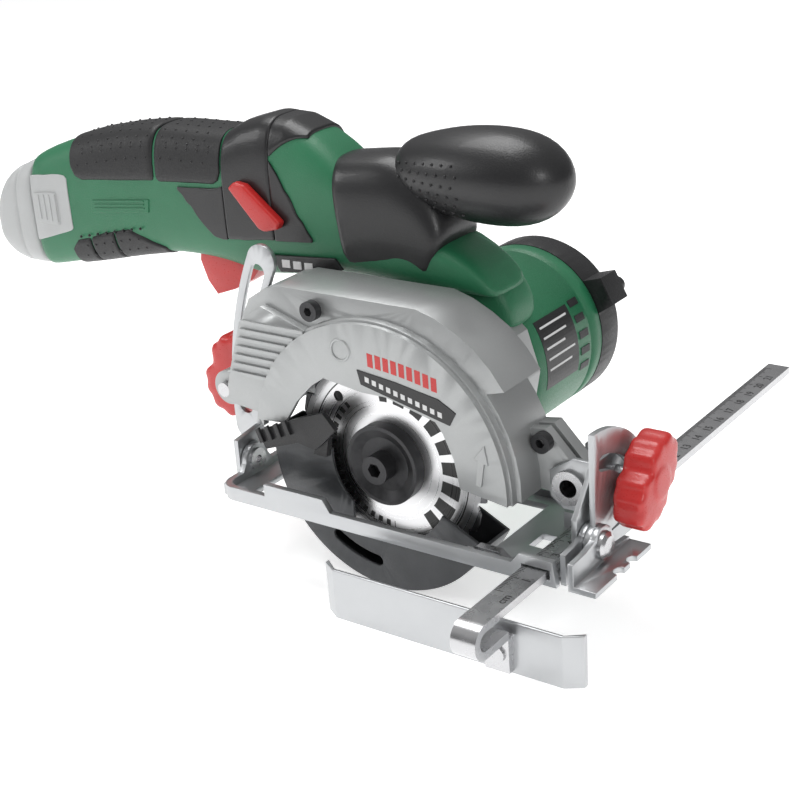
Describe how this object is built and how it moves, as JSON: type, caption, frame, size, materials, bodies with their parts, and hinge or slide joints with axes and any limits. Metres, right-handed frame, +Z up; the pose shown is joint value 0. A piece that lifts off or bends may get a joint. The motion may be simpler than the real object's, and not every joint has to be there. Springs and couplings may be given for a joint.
{
  "type": "cordless circular saw",
  "caption": "Compact cordless circular saw with a tilting sole, a swinging lower guard, a slotted depth strap, a front knob and a parallel guide with a sliding fence.",
  "frame": {"origin": "in the plane of the blade and of the sole underside, straight below the blade axis", "axes": "+X is the cutting direction, +Y runs along the blade axis to the motor side, +Z is up"},
  "size_m": [0.3395, 0.2524, 0.1693],
  "materials": {
    "zinc": "satin zinc plate",
    "bright": "bright steel",
    "screw": "blackened steel",
    "cast": "silver-grey paint on die casting",
    "darkcast": "dark grey satin paint",
    "iron": "dull",
    "green": "fine texture",
    "red": "satin",
    "black": "fine texture",
    "rubber": "dimpled soft grip",
    "grey": "pale grey",
    "brass": "bare"
  },
  "bodies": {
    "sole": {"sole_plate": "zinc", "guide_spring": "bright", "front_foot": "zinc", "bevel_quadrant": "zinc", "bevel_rivets": "bright", "bar_clamp_bridge": "zinc"},
    "guide": {"guide_bar": "bright", "fence_plate": "zinc", "fence_rivet": "bright"},
    "bar_screw": {"bar_clamp_screw": "black"},
    "tilting_frame": {"swivel_bracket": "zinc", "depth_strap": "zinc", "depth_pivot_pin": "bright", "pivot_cap_nut": "bright", "front_clamp_bolt": "bright"},
    "front_wing": {"front_wing_knob": "red"},
    "rear_wing": {"rear_wing_knob": "red"},
    "saw": {"upper_guard": "cast", "guard_screws": "screw", "gear_housing": "cast", "spindle_seal": "rubber", "housing_near": "green", "housing_far": "green", "motor_can": "bright", "motor_magnets": "iron", "carbon_brushes": "black", "brush_holder": "black", "end_cap": "black", "end_cap_screw": "screw", "knob_pad": "rubber", "front_knob": "green", "top_grip": "rubber", "lower_grip": "rubber", "side_panel": "black", "trigger_pin": "bright", "switch_module": "black", "gauge_window": "black", "battery_terminals": "brass", "label_plate": "black", "housing_screws": "screw", "rear_clamp_bolt": "bright", "idler_pin": "bright"},
    "blade_shaft": {"saw_blade": "bright", "outer_flange": "screw", "inner_flange": "bright", "spindle": "bright", "arbor_bolt": "screw", "output_gear": "bright"},
    "idler": {"idler_gears": "bright"},
    "rotor": {"rotor_shaft": "bright", "rotor_core": "iron", "cooling_fan": "black"},
    "lower_guard_set": {"lower_guard": "darkcast", "guard_lever": "black"},
    "trigger_set": {"trigger": "red"},
    "lock_off": {"lock_off_lever": "red"},
    "shaft_lock": {"spindle_lock": "red"},
    "battery": {"battery_pack": "grey"},
    "release_near": {"battery_button_near": "grey"},
    "release_far": {"battery_button_far": "grey"}
  },
  "joints": [
    {"name": "bevel_tilt", "type": "hinge", "parent": "sole", "child": "tilting_frame", "pos_m": [0, -0.002, 0.0085], "axis": [1, 0, 0], "range_deg": [0, 45]},
    {"name": "depth_swing", "type": "hinge", "parent": "tilting_frame", "child": "saw", "pos_m": [0.0727, 0.039, 0.023], "axis": [0, 1, 0], "range_deg": [-3, 17]},
    {"name": "blade_spin", "type": "hinge", "parent": "saw", "child": "blade_shaft", "pos_m": [0, 0, 0.0205], "axis": [0, 1, 0], "continuous": true},
    {"name": "idler_spin", "type": "hinge", "parent": "saw", "child": "idler", "pos_m": [-0.01429, 0.039, 0.02875], "axis": [0, 1, 0], "continuous": true},
    {"name": "rotor_spin", "type": "hinge", "parent": "saw", "child": "rotor", "pos_m": [0.002, 0.07, 0.042], "axis": [0, 1, 0], "continuous": true},
    {"name": "lower_guard_swing", "type": "hinge", "parent": "saw", "child": "lower_guard_set", "pos_m": [0, 0.009, 0.0205], "axis": [0, 1, 0], "range_deg": [0, 140], "stiffness_Nm_per_rad": 0.04, "springref_deg": -20.05},
    {"name": "trigger_pull", "type": "hinge", "parent": "saw", "child": "trigger_set", "pos_m": [-0.086, 0.039, 0.0785], "axis": [0, 1, 0], "range_deg": [0, 8], "stiffness_Nm_per_rad": 0.3, "springref_deg": -5.16},
    {"name": "lock_off_slide", "type": "slide", "parent": "saw", "child": "lock_off", "axis": [-1, 0, 0], "range_m": [0, 0.004], "stiffness_N_per_m": 200, "springref_m": -0.002},
    {"name": "shaft_lock_press", "type": "slide", "parent": "saw", "child": "shaft_lock", "axis": [1, 0, 0], "range_m": [0, 0.0012], "stiffness_N_per_m": 400, "springref_m": -0.001},
    {"name": "battery_slide", "type": "slide", "parent": "saw", "child": "battery", "axis": [-1, 0, 0], "range_m": [0, 0.045]},
    {"name": "release_near_press", "type": "slide", "parent": "battery", "child": "release_near", "axis": [0, 1, 0], "range_m": [0, 0.002], "stiffness_N_per_m": 400, "springref_m": -0.001},
    {"name": "release_far_press", "type": "slide", "parent": "battery", "child": "release_far", "axis": [0, -1, 0], "range_m": [0, 0.002], "stiffness_N_per_m": 400, "springref_m": -0.001},
    {"name": "guide_slide", "type": "slide", "parent": "sole", "child": "guide", "axis": [0, -1, 0], "range_m": [-0.016, 0.14]},
    {"name": "bar_screw_turn", "type": "hinge", "parent": "sole", "child": "bar_screw", "pos_m": [0.0752, 0.0195, 0.009], "axis": [0, 0, 1], "range_deg": [-180, 90]},
    {"name": "front_wing_turn", "type": "hinge", "parent": "tilting_frame", "child": "front_wing", "pos_m": [0.092, 0.02135, 0.02485], "axis": [1, 0, 0], "range_deg": [-10, 60]},
    {"name": "rear_wing_turn", "type": "hinge", "parent": "saw", "child": "rear_wing", "pos_m": [-0.07352, 0.012, 0.03811], "axis": [0, 1, 0], "range_deg": [-40, 10]}
  ],
  "couplings": [
    {"joint": "idler_spin", "follows": "blade_spin", "ratio": -1.75},
    {"joint": "rotor_spin", "follows": "blade_spin", "ratio": 10.5}
  ]
}
